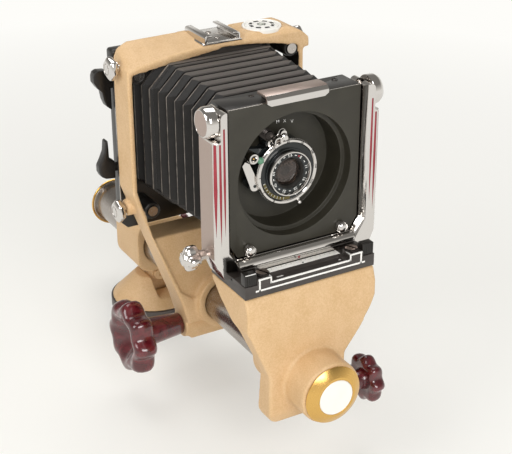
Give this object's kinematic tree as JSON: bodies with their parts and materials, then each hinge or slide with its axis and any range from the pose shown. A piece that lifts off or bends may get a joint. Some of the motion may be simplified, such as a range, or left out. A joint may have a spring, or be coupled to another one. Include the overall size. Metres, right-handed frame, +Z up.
{
  "type": "monorail camera",
  "caption": "Monorail camera: two cast standards on a geared tube rail, U-framed lens board with shutter, pleated bellows, ground glass back and tilting tripod head",
  "frame": {"origin": "mouth of the tripod thread, at the middle of the foot underside", "axes": "+X to the camera right seen from the front, +Y from the lens towards the ground glass, +Z up"},
  "size_m": [0.207, 0.4853, 0.3759],
  "materials": {
    "tan": "crackle enamel",
    "dark": "satin enamel",
    "black": "satin enamel",
    "board": "matt enamel",
    "chrome": "polished",
    "satin": "satin",
    "gold": "satin lacquered",
    "white": "gloss",
    "burgundy": "gloss",
    "bellows": "matt",
    "glass": "clear",
    "screen": "ground",
    "level": "clear"
  },
  "bodies": {
    "stand": {"foot": "dark", "thread_bush": "gold"},
    "pan_lock": {"pan_lock_screw": "chrome"},
    "head": {"pan_disc": "dark", "tilt_fork": "tan", "tilt_pin": "chrome"},
    "tilt_lock": {"tilt_lever": "burgundy"},
    "gimbal": {"gimbal_block": "tan", "side_pin": "tan"},
    "clamp": {"rail_clamp": "tan"},
    "rail_lock": {"clamp_knob": "burgundy"},
    "rail": {"rail_tube": "satin", "rail_rack": "gold", "cap_rings": "gold", "cap_discs": "white"},
    "front_carriage": {"front_casting": "tan", "swing_pivot": "satin"},
    "front_drive": {"front_pinion": "satin", "front_handwheel": "burgundy"},
    "swing_table": {"swing_plate": "dark", "end_blocks": "black"},
    "left_shift_lock": {"left_clamp_screw": "black"},
    "right_shift_lock": {"right_clamp_screw": "black"},
    "shift_stage": {"shift_slide": "satin", "u_frame": "chrome"},
    "rise_drive": {"rise_knob": "chrome"},
    "rise_stage": {"rise_rails": "satin"},
    "left_tilt_lock": {"left_tilt_knob": "chrome"},
    "right_tilt_lock": {"right_tilt_knob": "chrome"},
    "lens_stage": {"lens_frame": "black", "board_studs": "chrome", "lens_board": "board", "shutter_case": "satin", "shutter_sockets": "chrome", "front_cell": "black", "lens_glass": "glass", "rear_cell": "black", "lock_ring": "gold"},
    "latch": {"board_latch": "chrome"},
    "speeds": {"speed_ring": "chrome"},
    "aperture": {"aperture_lever": "chrome"},
    "cocking": {"cocking_lever": "chrome"},
    "release": {"release_lever": "chrome"},
    "rear_carriage": {"rear_casting": "tan", "accessory_shoe": "chrome", "level_cup": "white", "level_glass": "level", "bellows": "bellows"},
    "rear_drive": {"rear_pinion": "satin", "rear_handwheel": "burgundy"},
    "upper_left_rod_lock": {"upper_left_rod_knob": "chrome"},
    "upper_right_rod_lock": {"upper_right_rod_knob": "chrome"},
    "lower_left_rod_lock": {"lower_left_rod_knob": "chrome"},
    "lower_right_rod_lock": {"lower_right_rod_knob": "chrome"},
    "back": {"back_rods": "satin", "back_frame": "black"},
    "upper_catch": {"upper_back_catch": "black"},
    "lower_catch": {"lower_back_catch": "black"},
    "glass_back": {"glass_frame": "black", "ground_glass": "screen"}
  },
  "joints": [
    {"name": "pan", "type": "hinge", "parent": "stand", "child": "head", "pos_m": [0, 0, 0.102], "axis": [0, 0, 1], "continuous": true},
    {"name": "pan_lock_turn", "type": "hinge", "parent": "stand", "child": "pan_lock", "pos_m": [0, 0, 0.009], "axis": [0, 1, 0], "range_deg": [-30, 180]},
    {"name": "head_tilt", "type": "hinge", "parent": "head", "child": "gimbal", "pos_m": [0, 0, 0.042], "axis": [1, 0, 0], "range_deg": [-6, 20]},
    {"name": "tilt_lock_turn", "type": "hinge", "parent": "head", "child": "tilt_lock", "pos_m": [0, 0, 0.042], "axis": [1, 0, 0], "range_deg": [-20, 18]},
    {"name": "side_tilt", "type": "hinge", "parent": "gimbal", "child": "clamp", "pos_m": [0, 0, 0.06], "axis": [0, 1, 0], "range_deg": [-10, 10]},
    {"name": "rail_lock_turn", "type": "hinge", "parent": "clamp", "child": "rail_lock", "pos_m": [0, 0, 0.102], "axis": [1, 0, 0], "range_deg": [-30, 180]},
    {"name": "rail_slide", "type": "slide", "parent": "clamp", "child": "rail", "axis": [0, 1, 0], "range_m": [-0.06, 0.04]},
    {"name": "front_focus", "type": "slide", "parent": "rail", "child": "front_carriage", "axis": [0, 1, 0], "range_m": [0, 0.038], "deforming": ["bellows"]},
    {"name": "front_wheel_turn", "type": "hinge", "parent": "front_carriage", "child": "front_drive", "pos_m": [0, -0.326, 0.074], "axis": [1, 0, 0], "range_deg": [-1, 312.03]},
    {"name": "swing", "type": "hinge", "parent": "front_carriage", "child": "swing_table", "pos_m": [0, -0.3015, 0.196], "axis": [0, 0, 1], "range_deg": [-12, 12]},
    {"name": "left_shift_lock_turn", "type": "hinge", "parent": "swing_table", "child": "left_shift_lock", "pos_m": [-0.0455, -0.3253, 0.208], "axis": [0, 0, 1], "range_deg": [-30, 180]},
    {"name": "right_shift_lock_turn", "type": "hinge", "parent": "swing_table", "child": "right_shift_lock", "pos_m": [0.0455, -0.3253, 0.208], "axis": [0, 0, 1], "range_deg": [-30, 180]},
    {"name": "shift", "type": "slide", "parent": "swing_table", "child": "shift_stage", "axis": [1, 0, 0], "range_m": [-0.025, 0.025]},
    {"name": "rise", "type": "slide", "parent": "shift_stage", "child": "rise_stage", "axis": [0, 0, 1], "range_m": [0, 0.012]},
    {"name": "rise_knob_turn", "type": "hinge", "parent": "shift_stage", "child": "rise_drive", "pos_m": [-0.082, -0.28958, 0.226], "axis": [1, 0, 0], "range_deg": [-228.37, 1]},
    {"name": "lens_tilt", "type": "hinge", "parent": "rise_stage", "child": "lens_stage", "pos_m": [0, -0.296, 0.349], "axis": [1, 0, 0], "range_deg": [-6, 6]},
    {"name": "left_tilt_lock_turn", "type": "hinge", "parent": "rise_stage", "child": "left_tilt_lock", "pos_m": [-0.082, -0.296, 0.349], "axis": [1, 0, 0], "range_deg": [-30, 180]},
    {"name": "right_tilt_lock_turn", "type": "hinge", "parent": "rise_stage", "child": "right_tilt_lock", "pos_m": [0.082, -0.296, 0.349], "axis": [1, 0, 0], "range_deg": [-30, 180]},
    {"name": "latch_slide", "type": "slide", "parent": "lens_stage", "child": "latch", "axis": [0, 0, 1], "range_m": [0, 0.004]},
    {"name": "speed_turn", "type": "hinge", "parent": "lens_stage", "child": "speeds", "pos_m": [0, -0.29, 0.286], "axis": [0, 1, 0], "range_deg": [0, 150]},
    {"name": "aperture_turn", "type": "hinge", "parent": "lens_stage", "child": "aperture", "pos_m": [0, -0.287, 0.286], "axis": [0, 1, 0], "range_deg": [0, 50]},
    {"name": "cocking_swing", "type": "hinge", "parent": "lens_stage", "child": "cocking", "pos_m": [-0.031, -0.287, 0.278], "axis": [0, 1, 0], "range_deg": [-25, 0], "stiffness_Nm_per_rad": 0.02, "springref_deg": 5.73},
    {"name": "release_swing", "type": "hinge", "parent": "lens_stage", "child": "release", "pos_m": [-0.014, -0.287, 0.314], "axis": [0, 1, 0], "range_deg": [0, 8], "stiffness_Nm_per_rad": 0.02, "springref_deg": -5.73},
    {"name": "rear_focus", "type": "slide", "parent": "rail", "child": "rear_carriage", "axis": [0, 1, 0], "range_m": [-0.02, 0.045]},
    {"name": "rear_wheel_turn", "type": "hinge", "parent": "rear_carriage", "child": "rear_drive", "pos_m": [0, -0.147, 0.074], "axis": [1, 0, 0], "range_deg": [-164.7, 369.33]},
    {"name": "back_extend", "type": "slide", "parent": "rear_carriage", "child": "back", "axis": [0, 1, 0], "range_m": [0, 0.015]},
    {"name": "upper_left_rod_lock_turn", "type": "hinge", "parent": "rear_carriage", "child": "upper_left_rod_lock", "pos_m": [-0.092, -0.144, 0.3535], "axis": [1, 0, 0], "range_deg": [-30, 180]},
    {"name": "upper_right_rod_lock_turn", "type": "hinge", "parent": "rear_carriage", "child": "upper_right_rod_lock", "pos_m": [0.092, -0.144, 0.3535], "axis": [1, 0, 0], "range_deg": [-30, 180]},
    {"name": "lower_left_rod_lock_turn", "type": "hinge", "parent": "rear_carriage", "child": "lower_left_rod_lock", "pos_m": [-0.092, -0.144, 0.212], "axis": [1, 0, 0], "range_deg": [-30, 180]},
    {"name": "lower_right_rod_lock_turn", "type": "hinge", "parent": "rear_carriage", "child": "lower_right_rod_lock", "pos_m": [0.092, -0.144, 0.212], "axis": [1, 0, 0], "range_deg": [-30, 180]},
    {"name": "upper_catch_turn", "type": "hinge", "parent": "back", "child": "upper_catch", "pos_m": [-0.086, -0.113, 0.328], "axis": [1, 0, 0], "range_deg": [0, 70]},
    {"name": "lower_catch_turn", "type": "hinge", "parent": "back", "child": "lower_catch", "pos_m": [-0.086, -0.113, 0.244], "axis": [1, 0, 0], "range_deg": [0, 70]},
    {"name": "glass_back_spring", "type": "slide", "parent": "back", "child": "glass_back", "axis": [0, 1, 0], "range_m": [0, 0.012], "stiffness_N_per_m": 1200, "springref_m": -0.012}
  ],
  "couplings": [
    {"joint": "front_wheel_turn", "follows": "front_focus", "rad_per_m": 142.86},
    {"joint": "rear_wheel_turn", "follows": "rear_focus", "rad_per_m": 142.86},
    {"joint": "rise_knob_turn", "follows": "rise", "rad_per_m": -330.69}
  ]
}
